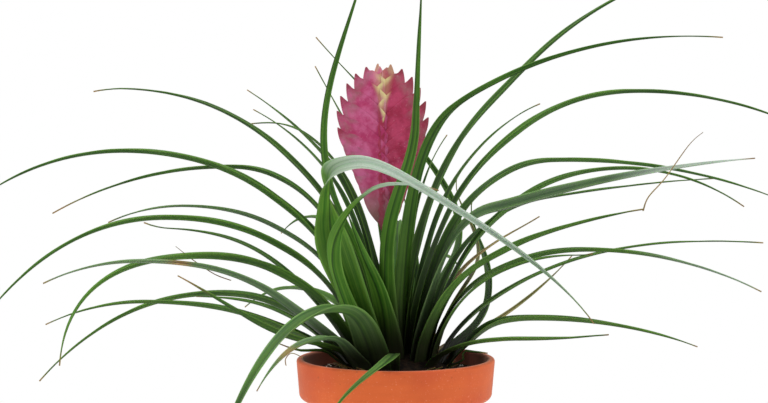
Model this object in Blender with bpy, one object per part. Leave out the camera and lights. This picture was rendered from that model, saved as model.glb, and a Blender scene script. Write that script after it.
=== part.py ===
# A pink quill plant in a terracotta pot.
# Metres, +Z up. The origin is the middle of the pot's underside, and the flat flower head faces -Y.
# The leaves are numbered by the side that they reach to, seen from the front.

import math

import bmesh
import bpy
from mathutils import Matrix, Vector, noise

MM = 0.001

# Pot
POT_HEIGHT = 108 * MM
POT_RIM_RADIUS = 60 * MM
POT_BAND_HEIGHT = 25 * MM
POT_BAND_TAPER = 1.6 * MM
POT_BAND_STEP = 5.4 * MM
POT_FOOT_RADIUS = 39 * MM
POT_WALL = 4.6 * MM
POT_FLOOR = 7 * MM
POT_DRAIN_RADIUS = 7 * MM
POT_LIP = 1.7 * MM
POT_SHOULDER = 4.2 * MM
POT_FOOT_ROUND = 1.5 * MM
POT_COVE = 3 * MM
POT_SIDES = 56

# Soil and the crown that stands in a plain hole in it
SOIL_LEVEL = 99.5 * MM
SOIL_MOUND = 2.5 * MM
SOIL_CRUMB = 1.2 * MM
SOIL_CRUMB_SIZE = 7 * MM
SOIL_COVE = 4 * MM
SOIL_RINGS = 5
SOIL_SIDES = 40
CROWN_RADIUS = 33 * MM
CROWN_TOP = 111 * MM
CROWN_EDGE = 102.5 * MM
CROWN_DEPTH = 16 * MM
CROWN_SIDES = 32
CROWN_RINGS = 5
GAP = 0.3 * MM

# Flower stalk and flower head
STALK_RADIUS = 2.1 * MM
STALK_FOOT_RADIUS = 2.5 * MM
HEAD_FOOT = Vector((-6.6, 0, 184)) * MM
HEAD_LEAN = math.radians(-1.2)
HEAD_HEIGHT = 102 * MM
HEAD_WIDEST_AT = 66 * MM
HEAD_HALF_WIDTH = 28 * MM
HEAD_FOOT_HALF_WIDTH = 4 * MM
HEAD_HALF_THICKNESS = 4.6 * MM
BRACT_COUNT = 24
TOP_COLLAR_HEIGHT = 0.86
BRACT_EDGE = 0.5 * MM
BRACT_BELLY_REACH = 1.03
TOP_BELLY_REACH = 7 * MM
BRACT_BELLY_HEIGHT = 0.42
BRACT_COLLAR_HEIGHT = 0.55
BRACT_TIP_WIDTH = 0.8 * MM
SPINDLE_FOOT_RADIUS = 2.4 * MM
SPINDLE_TOP_RADIUS = 1.2 * MM
SPINDLE_LENGTH = 82 * MM
LOWEST_BRACT_TIP = 20 * MM
TOP_BRACT_FOOT = 68 * MM

# Leaves
BLADE_THICKNESS = 0.65 * MM
FOLD = math.radians(38)
FOLD_START_REACH = 20 * MM
FOLD_FULL_REACH = 75 * MM
SHEATH_WIDTH = 1.0
SHEATH_END = 0.2
TIP_WIDTH = 1.3 * MM
TAPER_POWER = 1.9
SEGMENT = 19 * MM
CLOSER_AT_ROOT = 1.35
HEART_RADIUS = 6.5 * MM
SHEATH_PITCH = 1.75 * MM
SHEATH_MARGIN = 0.9 * MM
FLARE = math.radians(0.7)
STEEPNESS_SPAN = 85 * MM
TYPICAL_ROOT = 12 * MM
ROOT_HANDLE = 0.55
BEND_HANDLE = 0.6


def leaf(side, heading, bend, tip, width, swing=0, turns=(0.12, 1), lean=0, rise=0, hook=0.5,
         roll=0, rolls=(0, 0.5)):
    # Bend and tip are (reach, height) in millimetres, measured from the pot's axis and its underside.
    # The leaf is at the angle rise to the horizontal where it passes its bend.
    # Heading, swing, lean, rise and roll are in degrees; heading 0 is +X and 90 is +Y.
    # Turns and rolls say between which shares of its length the leaf swings aside and rolls over.
    return dict(side=side, heading=math.radians(heading), bend=Vector(bend) * MM, tip=Vector(tip) * MM,
                width=width * MM, swing=math.radians(swing), turns=turns, lean=math.radians(lean),
                rise=math.radians(rise), hook=hook, roll=math.radians(roll), rolls=rolls)


LEAVES = [
    leaf("left", 158, (185, 270), (207, 268), 11),
    leaf("left", 176, (163, 234), (262, 199), 14, lean=3),
    leaf("left", 170, (100, 224), (216, 193), 11, lean=3),
    leaf("left", 189, (138, 196), (250, 130), 13),
    leaf("left", 175, (127, 200), (176, 189), 10),
    leaf("left", 161, (150, 183), (167, 186), 9, lean=28),
    leaf("left", 198, (122, 175), (204, 112), 16, lean=15, hook=0.75),
    leaf("left", 206, (168, 174), (220, 163), 13, lean=35),
    leaf("left", 210, (100, 140), (144, 165), 12, lean=34, rise=30),
    leaf("left", 184, (150, 144), (210, 130), 11, lean=40),
    leaf("left", 177, (107, 148), (218, 92), 12, lean=33),
    leaf("left", 166, (115, 142), (127, 142), 9, lean=30),
    leaf("left", 228, (68, 127), (118, 101), 11, lean=41),
    leaf("left", 194, (50, 114), (72, 119), 8, lean=48),
    leaf("left", 140, (90, 252), (123, 269), 8, rise=30),
    leaf("left", 132, (91, 237), (137, 256), 6, rise=28),
    leaf("left", 149, (90, 249), (107, 248), 7),
    leaf("right", 20, (88, 288), (203, 346), 13, rise=42),
    leaf("right", -50, (45, 260), (194, 301), 10, swing=39, turns=(0.3, 0.9), rise=38),
    leaf("right", 10, (148, 270), (266, 242), 13),
    leaf("right", 43, (104, 252), (127, 260), 6, rise=24),
    leaf("right", 25, (108, 227), (289, 193), 11),
    leaf("right", 7, (138, 223), (216, 198), 12, lean=6),
    leaf("right", -19, (60, 200), (216, 232), 16, lean=2, rise=18, roll=35),
    leaf("right", 31, (110, 202), (250, 210), 6, rise=6),
    leaf("right", -27, (120, 195), (158, 203), 14, rise=14),
    leaf("right", 14, (190, 175), (239, 173), 6, lean=12),
    leaf("right", -7, (115, 176), (218, 151), 11),
    leaf("right", -15, (112, 173), (120, 174), 8),
    leaf("right", 43, (92, 126), (158, 160), 7, lean=45, rise=20),
    leaf("right", 4, (80, 133), (185, 113), 12, lean=35),
    leaf("right", -36, (88, 127), (148, 133), 9, lean=45, rise=3),
    leaf("right", -9, (42, 113), (56, 112), 6, lean=55),
    leaf("right", 26, (102, 171), (125, 197), 10, swing=40, lean=40, rise=40),
    leaf("right", 36, (93, 181), (113, 189), 6, rise=20),
    leaf("right", 23, (96, 183), (126, 212), 6, swing=48, rise=38),
    leaf("right", 60, (49, 229), (65, 241), 5, rise=42),
    leaf("front", -135, (122, 232), (171, 145), 16, swing=90, turns=(0.22, 1.15), lean=18, rise=11,
         hook=0.41, roll=150, rolls=(0.05, 0.6)),
    leaf("front", -132, (106, 218), (113, 216), 14.6, swing=60, turns=(0.4, 1.15), lean=30, rise=-10,
         hook=0.8, roll=110, rolls=(0.35, 0.85)),
    leaf("front", -115, (34, 175), (46, 200), 14, swing=-14, rise=66),
    leaf("front", -158, (62, 246), (88, 352), 13, swing=60, turns=(0.15, 1.1), rise=70),
    leaf("front", -132, (39, 247), (55, 346), 11, swing=58, turns=(0.05, 0.6), rise=80),
    leaf("front", 242, (82, 148), (212, 66), 15, lean=15),
    leaf("front", -91, (45, 116), (110, 82), 9, swing=-20, lean=40, hook=0.6),
    leaf("back", 46, (103, 221), (132, 303), 8, swing=80, turns=(0.12, 1.3), rise=68),
    leaf("back", 127, (45, 243), (84, 284), 6, rise=46),
    leaf("back", 50, (53, 200), (63, 213), 5, swing=36, rise=52),
    leaf("back", 76, (118, 160), (193, 142), 11, lean=25),
    leaf("back", 89, (128, 182), (189, 172), 12),
    leaf("back", 102, (113, 150), (190, 120), 12, lean=25),
    leaf("back", 114, (125, 186), (190, 170), 11),
    leaf("back", 124, (105, 142), (180, 122), 11, lean=30),
]


def clear_scene():
    for thing in list(bpy.data.objects):
        bpy.data.objects.remove(thing, do_unlink=True)


def material(name, colour, roughness):
    finish = bpy.data.materials.new(name)
    finish.use_nodes = True
    shader = finish.node_tree.nodes["Principled BSDF"]
    shader.inputs["Base Color"].default_value = (*colour, 1)
    shader.inputs["Roughness"].default_value = roughness
    shader.inputs["Metallic"].default_value = 0
    return finish


def add_object(name, bm, finish, smooth_angle=40):
    bmesh.ops.recalc_face_normals(bm, faces=bm.faces[:])
    mesh = bpy.data.meshes.new(name)
    bm.to_mesh(mesh)
    bm.free()
    mesh.materials.append(finish)
    mesh.shade_smooth()
    mesh.set_sharp_from_angle(angle=math.radians(smooth_angle))
    thing = bpy.data.objects.new(name, mesh)
    bpy.context.scene.collection.objects.link(thing)
    return thing


def turned(profile, sides):
    # Spins a closed (radius, height) outline round the Z axis.
    # An outline that touches the axis starts and ends on it.
    bm = bmesh.new()
    corners = [bm.verts.new((radius, 0, height)) for radius, height in profile]
    edges = [bm.edges.new(pair) for pair in zip(corners, corners[1:])]
    if profile[0][0] > 0:
        edges.append(bm.edges.new((corners[-1], corners[0])))
    bmesh.ops.spin(bm, geom=corners + edges, cent=(0, 0, 0), axis=(0, 0, 1), angle=math.tau,
                   steps=sides, use_merge=True)
    bmesh.ops.remove_doubles(bm, verts=bm.verts[:], dist=0.001 * MM)
    return bm


def smoothstep(value):
    value = min(max(value, 0), 1)
    return value * value * (3 - 2 * value)


# Pot: a foot, a tapering body, and a thick band under the rounded lip

def inner_radius(height):
    under_lip = POT_RIM_RADIUS - POT_WALL
    at_floor = POT_FOOT_RADIUS - POT_WALL + 0.5 * MM
    return at_floor + (under_lip - at_floor) * (height - POT_FLOOR) / (POT_HEIGHT - POT_FLOOR)


def arc(centre, radius, start, end, count):
    angles = [math.radians(start + (end - start) * i / count) for i in range(count + 1)]
    return [(centre[0] + radius * math.cos(a), centre[1] + radius * math.sin(a)) for a in angles]


def make_pot():
    band_bottom = POT_HEIGHT - POT_BAND_HEIGHT
    body_top_radius = POT_RIM_RADIUS - POT_BAND_TAPER - POT_BAND_STEP
    lip = POT_LIP
    shoulder = POT_SHOULDER
    foot = POT_FOOT_ROUND
    profile = [(POT_DRAIN_RADIUS, 0)]
    profile += arc((POT_FOOT_RADIUS - foot, foot), foot, -90, -10, 3)
    profile += [(body_top_radius, band_bottom - 1 * MM)]
    profile += arc((POT_RIM_RADIUS - POT_BAND_TAPER - shoulder, band_bottom + shoulder), shoulder, -80, 0, 4)
    profile += arc((POT_RIM_RADIUS - lip, POT_HEIGHT - lip), lip, 0, 90, 3)
    profile += arc((POT_RIM_RADIUS - POT_WALL + lip, POT_HEIGHT - lip), lip, 90, 180, 3)
    profile += [(inner_radius(POT_FLOOR + POT_COVE), POT_FLOOR + POT_COVE)]
    profile += [(inner_radius(POT_FLOOR) - POT_COVE, POT_FLOOR)]
    profile += [(POT_DRAIN_RADIUS, POT_FLOOR)]
    add_object("pot", turned(profile, POT_SIDES), material("terracotta", (0.62, 0.23, 0.11), 0.85))


# Soil: fills the pot, with a low crumbly mound round the crown's hole

def make_soil():
    hole = CROWN_RADIUS + GAP
    outer = inner_radius(SOIL_LEVEL) - 2 * GAP
    profile = [(0, POT_FLOOR + GAP), (inner_radius(POT_FLOOR) - SOIL_COVE, POT_FLOOR + GAP)]
    profile += [(inner_radius(POT_FLOOR + SOIL_COVE) - 2 * GAP, POT_FLOOR + SOIL_COVE)]
    profile += [(outer, SOIL_LEVEL)]
    for i in range(1, SOIL_RINGS + 1):
        part = i / SOIL_RINGS
        profile.append((outer + (hole - outer) * part, SOIL_LEVEL + SOIL_MOUND * smoothstep(part)))
    hole_floor = CROWN_EDGE - CROWN_DEPTH - GAP
    profile += [(hole, hole_floor), (0, hole_floor)]
    bm = turned(profile, SOIL_SIDES)
    for vert in bm.verts:
        reach = math.hypot(vert.co.x, vert.co.y)
        if vert.co.z > SOIL_LEVEL + 0.1 * MM and hole + 1 * MM < reach < outer - 1 * MM:
            vert.co.z += SOIL_CRUMB * noise.noise(vert.co / SOIL_CRUMB_SIZE)
    add_object("soil", bm, material("potting_soil", (0.045, 0.03, 0.022), 0.95))


# Crown: the short stem, a low dome that every leaf and the flower stalk stand on

def crown_height(reach):
    return CROWN_TOP - (CROWN_TOP - CROWN_EDGE) * (reach / CROWN_RADIUS) ** 2


def make_crown():
    profile = [(0, CROWN_EDGE - CROWN_DEPTH), (CROWN_RADIUS, CROWN_EDGE - CROWN_DEPTH)]
    for i in range(CROWN_RINGS + 1):
        reach = CROWN_RADIUS * (1 - i / CROWN_RINGS)
        profile.append((reach, crown_height(reach)))
    add_object("crown", turned(profile, CROWN_SIDES), material("old_sheaths", (0.24, 0.16, 0.08), 0.9))


# Flower stalk: a round stem from the crown's top to the foot of the flower head

def make_stalk():
    start = Vector((0, 0, CROWN_TOP + GAP))
    end = HEAD_FOOT - Vector((0, 0, GAP))
    bm = bmesh.new()
    bmesh.ops.create_cone(bm, cap_ends=True, segments=12, radius1=STALK_FOOT_RADIUS,
                          radius2=STALK_RADIUS, depth=1)
    for vert in bm.verts:
        share = vert.co.z + 0.5
        middle = start.lerp(end, share)
        vert.co = Vector((middle.x + vert.co.x, middle.y + vert.co.y, middle.z))
    add_object("flower_stalk", bm, material("stalk", (0.28, 0.33, 0.12), 0.6))


# Flower head: a flat quill of folded bracts in two ranks, each over the one above it

def head_half_width(height):
    if height < HEAD_WIDEST_AT:
        share = height / HEAD_WIDEST_AT
        return HEAD_FOOT_HALF_WIDTH + (HEAD_HALF_WIDTH - HEAD_FOOT_HALF_WIDTH) * share
    share = min((height - HEAD_WIDEST_AT) / (HEAD_HEIGHT + 2 * MM - HEAD_WIDEST_AT), 1)
    return HEAD_HALF_WIDTH * (1 - share ** 2.2) ** 0.5


def tooth(order):
    # The tips stand evenly along the outline, up one side and over the round top
    if order < 0.5:
        height = LOWEST_BRACT_TIP + (HEAD_WIDEST_AT - LOWEST_BRACT_TIP) * order * 2
        return Vector((head_half_width(height), height))
    turn = math.radians(85) * (order - 0.5) * 2
    rise = math.sin(turn) ** 0.91
    return Vector((HEAD_HALF_WIDTH * math.cos(turn), HEAD_WIDEST_AT + (HEAD_HEIGHT - HEAD_WIDEST_AT) * rise))


def make_bract(index):
    order = index / (BRACT_COUNT - 1)
    side = -1 if index % 2 else 1
    foot = TOP_BRACT_FOOT * order
    tip = tooth(order)
    length = tip.y - foot
    base = Vector((0, foot))
    top = smoothstep((order - 0.6) / 0.4)
    belly = Vector((BRACT_BELLY_REACH * tip.x + TOP_BELLY_REACH * top,
                    foot + (BRACT_BELLY_HEIGHT + 0.15 * top) * length))
    closing = (TOP_COLLAR_HEIGHT - BRACT_COLLAR_HEIGHT) * smoothstep((order - 0.7) / 0.3)
    collar = Vector((0, foot + (BRACT_COLLAR_HEIGHT + closing) * length))
    upper_tip = tip + Vector((-BRACT_TIP_WIDTH, BRACT_TIP_WIDTH / 4))
    swell = HEAD_HALF_THICKNESS * (1 - 0.45 * order)
    bm = bmesh.new()
    bmesh.ops.create_grid(bm, x_segments=4, y_segments=2, size=1)
    bmesh.ops.triangulate(bm, faces=bm.faces[:])
    front = bm.verts[:]
    made = bmesh.ops.extrude_face_region(bm, geom=bm.faces[:])
    back = [item for item in made["geom"] if isinstance(item, bmesh.types.BMVert)]
    for verts, way in ((front, -1), (back, 1)):
        for vert in verts:
            along = (vert.co.x + 1) / 2
            up = (vert.co.y + 1) / 2
            keel = base.lerp(belly, along).lerp(belly.lerp(tip, along), along)
            upper = collar.lerp(upper_tip, along)
            spot = keel.lerp(upper, up)
            depth = BRACT_EDGE + swell * (1 - along) ** 0.7 * (0.35 + 0.65 * up)
            vert.co = Vector((side * spot.x, way * depth, spot.y))
    bmesh.ops.recalc_face_normals(bm, faces=bm.faces[:])
    return bm


def make_flower_head():
    pink = material("bract_pink", (0.52, 0.09, 0.22), 0.5)
    repeats = bpy.data.collections.new("bracts")
    bpy.context.scene.collection.children.link(repeats)
    for index in range(BRACT_COUNT):
        bract = add_object("bract", make_bract(index), pink)
        bpy.context.scene.collection.objects.unlink(bract)
        repeats.objects.link(bract)
    bm = bmesh.new()
    bmesh.ops.create_cone(bm, cap_ends=True, segments=10, radius1=SPINDLE_FOOT_RADIUS,
                          radius2=SPINDLE_TOP_RADIUS, depth=SPINDLE_LENGTH,
                          matrix=Matrix.Translation((0, 0, SPINDLE_LENGTH / 2)))
    head = add_object("flower_head", bm, pink)
    union = head.modifiers.new("join_bracts", "BOOLEAN")
    union.operation = "UNION"
    union.operand_type = "COLLECTION"
    union.collection = repeats
    union.solver = "EXACT"
    joined = bpy.data.meshes.new_from_object(head.evaluated_get(bpy.context.evaluated_depsgraph_get()))
    head.modifiers.clear()
    head.data = joined
    for bract in list(repeats.objects):
        bpy.data.objects.remove(bract, do_unlink=True)
    bpy.data.collections.remove(repeats)
    head.location = HEAD_FOOT
    head.rotation_euler = (0, HEAD_LEAN, 0)


# Leaves: channelled blades in a rosette, the steep ones inside and the low ones outside

def bezier(points, share):
    while len(points) > 1:
        points = [a.lerp(b, share) for a, b in zip(points, points[1:])]
    return points[0]


def leaf_route(row, root_reach):
    # Evenly spaced points along the leaf: share of its length, reach and height
    root = Vector((root_reach, crown_height(root_reach - BLADE_THICKNESS) + GAP))
    bend = row["bend"]
    along = Vector((math.cos(row["rise"]), math.sin(row["rise"])))
    lift = (bend.y - root.y) * ROOT_HANDLE
    lean = row["lean"] + FLARE * (root_reach - HEART_RADIUS) / MM
    start = root + Vector((lift * math.tan(lean), lift))
    run = (bend.x - root.x) * BEND_HANDLE / max(along.x, 0.35)
    steps = 40
    points = [bezier([root, start, bend - along * min(run, 0.5 * (bend - root).length), bend], i / steps)
              for i in range(steps)]
    knee = bend + along * (row["tip"] - bend).length * row["hook"]
    points += [bezier([bend, knee, row["tip"]], i / steps) for i in range(steps + 1)]
    lengths = [0]
    for a, b in zip(points, points[1:]):
        lengths.append(lengths[-1] + (b - a).length)
    count = max(6, round(lengths[-1] / SEGMENT))
    stations = []
    place = 0
    for i in range(count + 1):
        share = (i / count) ** CLOSER_AT_ROOT
        goal = share * lengths[-1]
        while place < len(points) - 2 and lengths[place + 1] < goal:
            place += 1
        part = (goal - lengths[place]) / (lengths[place + 1] - lengths[place])
        spot = points[place].lerp(points[place + 1], min(part, 1))
        stations.append((share, spot.x, spot.y))
    return stations


def leaf_line(row, root_reach):
    # The leaf's keel in space, with a side direction that is carried along it without twisting
    line = []
    for share, reach, height in leaf_route(row, root_reach):
        first, last = row["turns"]
        turn = row["heading"] + row["swing"] * smoothstep((share - first) / (last - first))
        line.append((share, Vector((reach * math.cos(turn), reach * math.sin(turn), height))))
    side = Vector((-math.sin(row["heading"]), math.cos(row["heading"]), 0))
    stations = []
    for i, (share, spot) in enumerate(line):
        ahead = line[min(i + 1, len(line) - 1)][1]
        behind = line[max(i - 1, 0)][1]
        tangent = (ahead - behind).normalized()
        side = (side - tangent * side.dot(tangent)).normalized()
        first, last = row["rolls"]
        roll = row["roll"] * smoothstep((share - first) / (last - first))
        rolled = Matrix.Rotation(roll, 3, tangent) @ side
        stations.append((share, spot, rolled, tangent.cross(rolled)))
    return stations


def half_width(row, share):
    # Half of the blade's width, laid flat
    sheath = SHEATH_WIDTH + (1 - SHEATH_WIDTH) * smoothstep(share / SHEATH_END)
    blade = row["width"] * sheath * (1 - share ** TAPER_POWER)
    return max(blade, TIP_WIDTH) / 2


def cross_section(row, station, across, thickness):
    # A point of the blade: across is -1 and 1 at its edges and 0 on its keel.
    # Near the heart a leaf lies round its neighbours, and further out it folds into a channel.
    share, spot, side, inward = station
    reach = math.hypot(spot.x, spot.y)
    half = half_width(row, share)
    clasp = half / (2 * reach)
    far = max(smoothstep((reach - FOLD_START_REACH) / (FOLD_FULL_REACH - FOLD_START_REACH)),
              smoothstep((share - 0.35) / 0.4))
    fold = clasp + (FOLD - clasp) * far
    keel = spot - inward * half * math.sin(fold) * far
    if across == 0:
        return keel + inward * thickness / math.cos(fold)
    edge = side * across * math.cos(fold) + inward * math.sin(fold)
    normal = inward * math.cos(fold) - side * across * math.sin(fold)
    return keel + edge * half + normal * thickness


def steepness(row):
    # The height at which the leaf leaves the heart of the plant: the steepest stand innermost
    heart = Vector((0, CROWN_TOP))
    for share, reach, height in leaf_route(row, TYPICAL_ROOT):
        spot = Vector((reach, height)) - heart
        if spot.length > STEEPNESS_SPAN:
            break
    return math.atan2(spot.y, spot.x)


def root_reach(row, placed):
    # The smallest radius that clears the sheath of every steeper leaf beside it
    reach = HEART_RADIUS
    moved = True
    while moved:
        moved = False
        for other, other_reach in placed:
            apart = abs((row["heading"] - other["heading"] + math.pi) % math.tau - math.pi)
            room = half_width(row, 0) / reach + half_width(other, 0) / other_reach + SHEATH_MARGIN / reach
            if apart < room and reach < other_reach + SHEATH_PITCH - 1e-9:
                reach = other_reach + SHEATH_PITCH
                moved = True
    return reach


def make_leaf(row, reach, name, finish):
    stations = leaf_line(row, reach)
    count = len(stations) - 1
    bm = bmesh.new()
    bmesh.ops.create_grid(bm, x_segments=count, y_segments=2, size=1)
    bmesh.ops.triangulate(bm, faces=bm.faces[:])
    under = bm.verts[:]
    made = bmesh.ops.extrude_face_region(bm, geom=bm.faces[:])
    upper = [item for item in made["geom"] if isinstance(item, bmesh.types.BMVert)]
    for verts, thickness in ((under, 0), (upper, BLADE_THICKNESS)):
        for vert in verts:
            station = stations[round((vert.co.x + 1) / 2 * count)]
            vert.co = cross_section(row, station, round(vert.co.y), thickness)
    bmesh.ops.triangulate(bm, faces=bm.faces[:])
    add_object(name, bm, finish, smooth_angle=60)


def make_leaves():
    finish = material("leaf_green", (0.07, 0.16, 0.06), 0.45)
    placed = []
    for row in sorted(LEAVES, key=steepness, reverse=True):
        placed.append((row, root_reach(row, placed)))
    reach_of = {id(row): reach for row, reach in placed}
    numbers = {}
    for row in LEAVES:
        numbers[row["side"]] = numbers.get(row["side"], 0) + 1
        name = f"leaf_{row['side']}_{numbers[row['side']]:02d}"
        make_leaf(row, reach_of[id(row)], name, finish)


def main():
    clear_scene()
    make_pot()
    make_soil()
    make_crown()
    make_stalk()
    make_flower_head()
    make_leaves()


main()
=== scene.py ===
# The looks of the pink quill plant in its terracotta pot.
# Blender's metres, +Z up, with the sizes of the pieces named in millimetres.
# The flat flower head faces -Y, where the camera stands.

import math
import random

import bmesh
import bpy
from mathutils import Matrix, Vector, noise


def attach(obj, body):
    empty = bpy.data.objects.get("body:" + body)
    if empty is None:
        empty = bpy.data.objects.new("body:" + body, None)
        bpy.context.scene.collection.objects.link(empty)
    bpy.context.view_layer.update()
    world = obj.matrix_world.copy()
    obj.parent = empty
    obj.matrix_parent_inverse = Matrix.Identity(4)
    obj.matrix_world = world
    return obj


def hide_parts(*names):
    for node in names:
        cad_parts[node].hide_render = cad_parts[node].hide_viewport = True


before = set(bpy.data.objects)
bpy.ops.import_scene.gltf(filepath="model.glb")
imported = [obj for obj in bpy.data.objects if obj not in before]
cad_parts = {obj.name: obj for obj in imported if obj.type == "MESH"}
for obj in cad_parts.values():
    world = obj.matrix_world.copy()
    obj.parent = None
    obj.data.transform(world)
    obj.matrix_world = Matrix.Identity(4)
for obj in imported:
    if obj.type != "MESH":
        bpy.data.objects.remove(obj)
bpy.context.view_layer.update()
mm = 0.001


# Small helpers

def tint(code):
    # A colour such as "#7a9b3c" as linear red, green and blue
    parts = [int(code[i:i + 2], 16) / 255 for i in (1, 3, 5)]
    linear = [p / 12.92 if p <= 0.04045 else ((p + 0.055) / 1.055) ** 2.4 for p in parts]
    return (*linear, 1.0)


def ease(value):
    value = min(max(value, 0.0), 1.0)
    return value * value * (3 - 2 * value)


def bump01(value, centre, spread):
    # 1 at the centre, falling to 0 at one spread from it
    return ease(1 - abs(value - centre) / spread)


def addPiece(name, bm, finish, replaces=(), smooth=True):
    mesh = bpy.data.meshes.new(name)
    bm.to_mesh(mesh)
    bm.free()
    mesh.materials.append(finish)
    if smooth:
        mesh.shade_smooth()
    piece = bpy.data.objects.new(name, mesh)
    bpy.context.scene.collection.objects.link(piece)
    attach(piece, "root")
    if replaces:
        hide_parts(*replaces)
    return piece


# Node helpers

def newMaterial(name):
    finish = bpy.data.materials.new(name)
    finish.use_nodes = True
    tree = finish.node_tree
    return finish, tree, tree.nodes["Principled BSDF"]


def addNode(tree, kind, **settings):
    node = tree.nodes.new(kind)
    for key, value in settings.items():
        setattr(node, key, value)
    return node


def feed(tree, source, target):
    # A socket is linked, and a number or a colour is set
    if isinstance(source, bpy.types.NodeSocket):
        tree.links.new(source, target)
    else:
        target.default_value = source


def blendColours(tree, factor, first, second):
    node = addNode(tree, "ShaderNodeMix", data_type="RGBA")
    feed(tree, factor, node.inputs[0])
    feed(tree, first, node.inputs[6])
    feed(tree, second, node.inputs[7])
    return node.outputs[2]


def maths(tree, operation, first, second=0.5, clamp=False):
    node = addNode(tree, "ShaderNodeMath", operation=operation, use_clamp=clamp)
    feed(tree, first, node.inputs[0])
    feed(tree, second, node.inputs[1])
    return node.outputs[0]


def spread(tree, value, low, high, outLow=0.0, outHigh=1.0):
    node = addNode(tree, "ShaderNodeMapRange", interpolation_type="SMOOTHSTEP")
    feed(tree, value, node.inputs[0])
    for number, socket in zip((low, high, outLow, outHigh), node.inputs[1:5]):
        socket.default_value = number
    return node.outputs[0]


def grain(tree, where, scale, stretch=(1, 1, 1), detail=3.0, roughness=0.55):
    mapping = addNode(tree, "ShaderNodeMapping")
    mapping.inputs["Scale"].default_value = stretch
    feed(tree, where, mapping.inputs["Vector"])
    node = addNode(tree, "ShaderNodeTexNoise")
    node.inputs["Scale"].default_value = scale
    node.inputs["Detail"].default_value = detail
    node.inputs["Roughness"].default_value = roughness
    tree.links.new(mapping.outputs[0], node.inputs["Vector"])
    return node.outputs[0]


def raised(tree, shader, height, distance, strength):
    node = addNode(tree, "ShaderNodeBump")
    node.inputs["Strength"].default_value = strength
    node.inputs["Distance"].default_value = distance
    feed(tree, height, node.inputs["Height"])
    tree.links.new(node.outputs[0], shader.inputs["Normal"])


def objectPlace(tree):
    return addNode(tree, "ShaderNodeTexCoord").outputs["Object"]


def uvPlace(tree, layer):
    return addNode(tree, "ShaderNodeUVMap", uv_map=layer).outputs[0]


def axes(tree, vector):
    node = addNode(tree, "ShaderNodeSeparateXYZ")
    tree.links.new(vector, node.inputs[0])
    return node.outputs


def storedState(tree, name):
    # The four amounts that a mesh's vertices hold under a name
    state = addNode(tree, "ShaderNodeAttribute", attribute_name=name)
    parts = addNode(tree, "ShaderNodeSeparateColor")
    tree.links.new(state.outputs["Color"], parts.inputs[0])
    return (*parts.outputs[:3], state.outputs["Alpha"])


# Mesh helpers

def slab(bm, along, across):
    # A flat grid and its extruded copy. Gives each vertex's place, from -1 to 1, and 0 below or 1 above.
    bmesh.ops.create_grid(bm, x_segments=along, y_segments=across, size=1)
    places = {vert.co.copy().freeze(): vert.co.copy() for vert in bm.verts}
    under = [(vert, vert.co.copy(), 0) for vert in bm.verts]
    made = bmesh.ops.extrude_face_region(bm, geom=bm.faces[:])
    upper = [(item, places[item.co.copy().freeze()], 1) for item in made["geom"]
             if isinstance(item, bmesh.types.BMVert)]
    return under + upper


def absorb(joined, bm):
    # Adds one mesh to another and frees it
    keep = bpy.data.meshes.new("part")
    bm.to_mesh(keep)
    bm.free()
    joined.from_mesh(keep)
    bpy.data.meshes.remove(keep)


# Camera and stage

def makeCamera():
    # The place and the lens are in millimetres, and the pitch is in degrees
    view = dict(place=(-7.07, -1300, 286), pitch=3.66, lens=101.3)
    camera = bpy.data.cameras.new("camera")
    camera.sensor_width = 36
    camera.lens = view["lens"]
    camera.clip_end = 20
    stand = bpy.data.objects.new("camera", camera)
    stand.location = Vector(view["place"]) * mm
    stand.rotation_euler = (math.radians(90 - view["pitch"]), 0, 0)
    bpy.context.scene.collection.objects.link(stand)
    bpy.context.scene.camera = stand


def makeStage():
    # In metres, with the lamps' power in watts
    size = dict(floorRadius=0.44, floorSides=96, roomLight=0.42, aim=(0, 0, 0.18))
    finish, tree, shader = newMaterial("paleFloor")
    cloudy = grain(tree, objectPlace(tree), 1.5)
    shade = blendColours(tree, cloudy, (0.93, 0.93, 0.93, 1), (0.96, 0.96, 0.96, 1))
    feed(tree, shade, shader.inputs["Base Color"])
    shader.inputs["Roughness"].default_value = 0.8
    bm = bmesh.new()
    bmesh.ops.create_circle(bm, cap_ends=True, segments=size["floorSides"], radius=size["floorRadius"])
    mesh = bpy.data.meshes.new("floor")
    bm.to_mesh(mesh)
    bm.free()
    mesh.materials.append(finish)
    floor = bpy.data.objects.new("floor", mesh)
    bpy.context.scene.collection.objects.link(floor)
    world = bpy.data.worlds.new("softRoom")
    world.use_nodes = True
    room = world.node_tree
    background = room.nodes["Background"]
    background.inputs["Color"].default_value = (1, 1, 1, 1)
    seen = room.nodes.new("ShaderNodeLightPath").outputs["Is Camera Ray"]
    feed(room, spread(room, seen, 0, 1, size["roomLight"], 1.0), background.inputs["Strength"])
    bpy.context.scene.world = world
    bpy.context.scene.view_settings.view_transform = "Standard"
    lamps = {
        "leftBox": dict(place=(-1.5, -0.7, 0.9), size=0.9, power=16),
        "rightBox": dict(place=(1.5, -0.6, 0.8), size=0.9, power=14),
        "topBox": dict(place=(-0.2, 0.5, 1.9), size=1.2, power=20),
    }
    for name, lamp in lamps.items():
        light = bpy.data.lights.new(name, "AREA")
        light.energy = lamp["power"]
        light.size = lamp["size"]
        stand = bpy.data.objects.new(name, light)
        stand.location = lamp["place"]
        aim = Vector(size["aim"]) - Vector(lamp["place"])
        stand.rotation_euler = aim.to_track_quat("-Z", "Y").to_euler()
        bpy.context.scene.collection.objects.link(stand)


# Terracotta pot

potSizes = dict(height=108, rim=60, band=25, bandTaper=1.6, bandStep=5.4, foot=39, wall=4.6, floor=7,
                drain=7, sides=160, lip=1.7, shoulder=4.2, footRound=1.5, drainRound=0.8, bodyFoot=3,
                bodyGap=1.2, bodyRings=12, inside=(98, 90, 60, 30, 10), floorIn=3, waveSize=28, wave=0.25,
                waveIn=0.1, evenFoot=3, evenLip=106, evenMiddle=20)


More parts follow.
